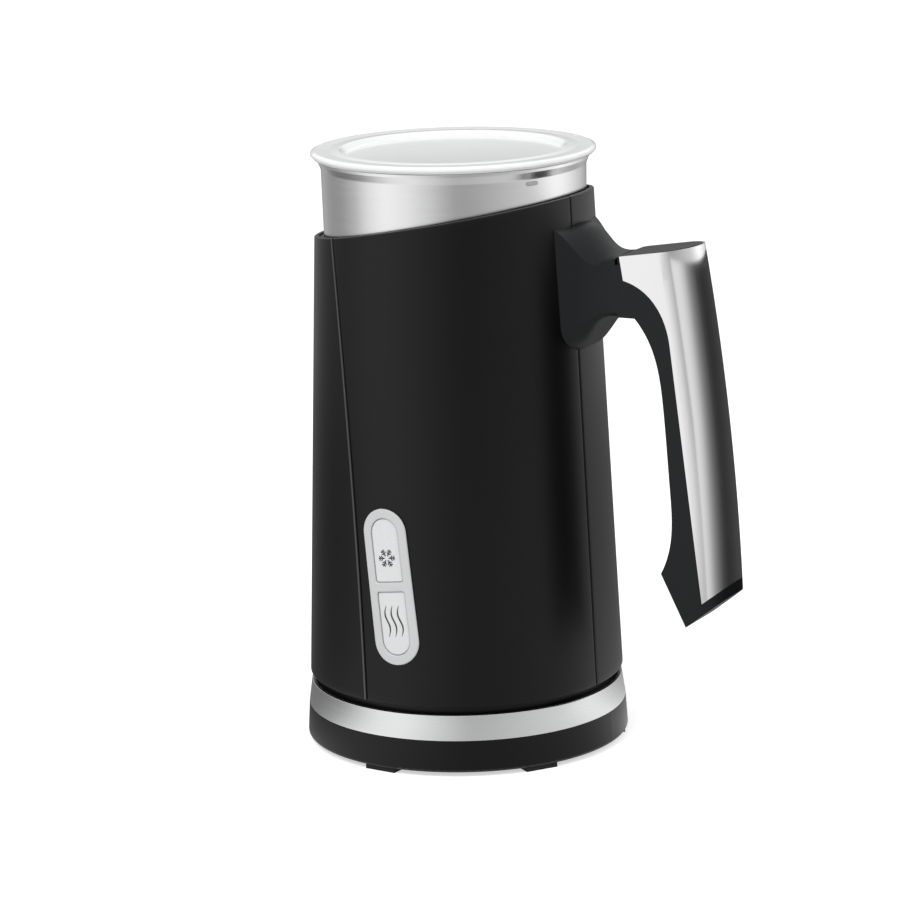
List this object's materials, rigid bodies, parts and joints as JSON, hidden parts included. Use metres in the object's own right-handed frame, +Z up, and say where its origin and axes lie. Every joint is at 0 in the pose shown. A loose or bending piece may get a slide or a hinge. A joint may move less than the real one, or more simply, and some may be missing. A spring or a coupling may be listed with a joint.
{
  "type": "milk frother",
  "caption": "Electric milk frother: heated steel jug in a tapered black shell with side handle, clear lid and two keys, lifting off a round power base.",
  "frame": {"origin": "on the body's axis, at the level the feet stand on", "axes": "+Z up along the body axis, +X towards the handle, -Y towards the two keys"},
  "size_m": [0.1572, 0.1102, 0.2022],
  "materials": {
    "black_plastic": "gloss black moulded shell",
    "black_matte": "fine matte black moulding",
    "satin_steel": "brushed round the axis",
    "polished_steel": "satin polished",
    "jug_steel": "brushed stainless steel",
    "zinc_steel": "zinc plated",
    "brass": "bare",
    "rubber": "matte",
    "silicone": "translucent white",
    "white_plastic": "natural white",
    "silver_plastic": "satin silver paint",
    "board_green": "lacquered laminate",
    "aluminium": "cast",
    "magnet": "nickel plated",
    "clear_plastic": "clear"
  },
  "bodies": {
    "base": {"base_shell": "black_plastic", "base_trim_ring": "satin_steel", "base_bottom_cover": "black_matte", "base_feet": "rubber", "base_screws": "zinc_steel", "power_plug": "black_matte", "plug_contacts": "brass", "cord_gland": "rubber"},
    "socket": {"power_socket": "black_matte", "socket_contact": "brass"},
    "jug_unit": {"main_shell": "black_plastic", "front_panel": "black_plastic", "rim_collar": "black_matte", "chassis_plate": "black_matte", "chassis_screws": "zinc_steel", "jug_carrier": "white_plastic", "steel_jug": "jug_steel", "whisk_pin": "jug_steel", "heater_plate": "aluminium", "thermostat": "white_plastic", "motor": "zinc_steel", "motor_bracket": "white_plastic", "button_bezel": "silver_plastic", "control_board": "board_green", "button_switches": "black_matte", "handle_body": "black_matte", "handle_cover": "polished_steel", "handle_top_cap": "black_matte", "handle_screws": "zinc_steel"},
    "rotor": {"motor_shaft": "zinc_steel", "drive_rotor": "white_plastic", "drive_magnets": "magnet"},
    "whisk": {"whisk_hub": "white_plastic", "whisk_coil": "jug_steel", "whisk_magnets": "magnet"},
    "lid": {"lid": "clear_plastic", "lid_seal": "silicone"},
    "cold_key": {"button_cold": "silver_plastic"},
    "hot_key": {"button_hot": "silver_plastic"}
  },
  "joints": [
    {"name": "unit_lift", "type": "slide", "parent": "base", "child": "socket", "axis": [0, 0, 1], "range_m": [0, 0.06]},
    {"name": "unit_swivel", "type": "hinge", "parent": "socket", "child": "jug_unit", "pos_m": [0, 0, 0.03], "axis": [0, 0, 1], "continuous": true},
    {"name": "rotor_spin", "type": "hinge", "parent": "jug_unit", "child": "rotor", "pos_m": [0, 0, 0.08], "axis": [0, 0, 1], "continuous": true},
    {"name": "whisk_spin", "type": "hinge", "parent": "jug_unit", "child": "whisk", "pos_m": [0, 0, 0.09], "axis": [0, 0, 1], "continuous": true},
    {"name": "lid_lift", "type": "slide", "parent": "jug_unit", "child": "lid", "axis": [0, 0, 1], "range_m": [0, 0.06]},
    {"name": "cold_press", "type": "slide", "parent": "jug_unit", "child": "cold_key", "axis": [0, 1, 0], "range_m": [0, 0.0008], "stiffness_N_per_m": 1000, "springref_m": -0.0015},
    {"name": "hot_press", "type": "slide", "parent": "jug_unit", "child": "hot_key", "axis": [0, 1, 0], "range_m": [0, 0.0008], "stiffness_N_per_m": 1000, "springref_m": -0.0015}
  ],
  "couplings": [
    {"joint": "whisk_spin", "follows": "rotor_spin", "ratio": 1}
  ]
}
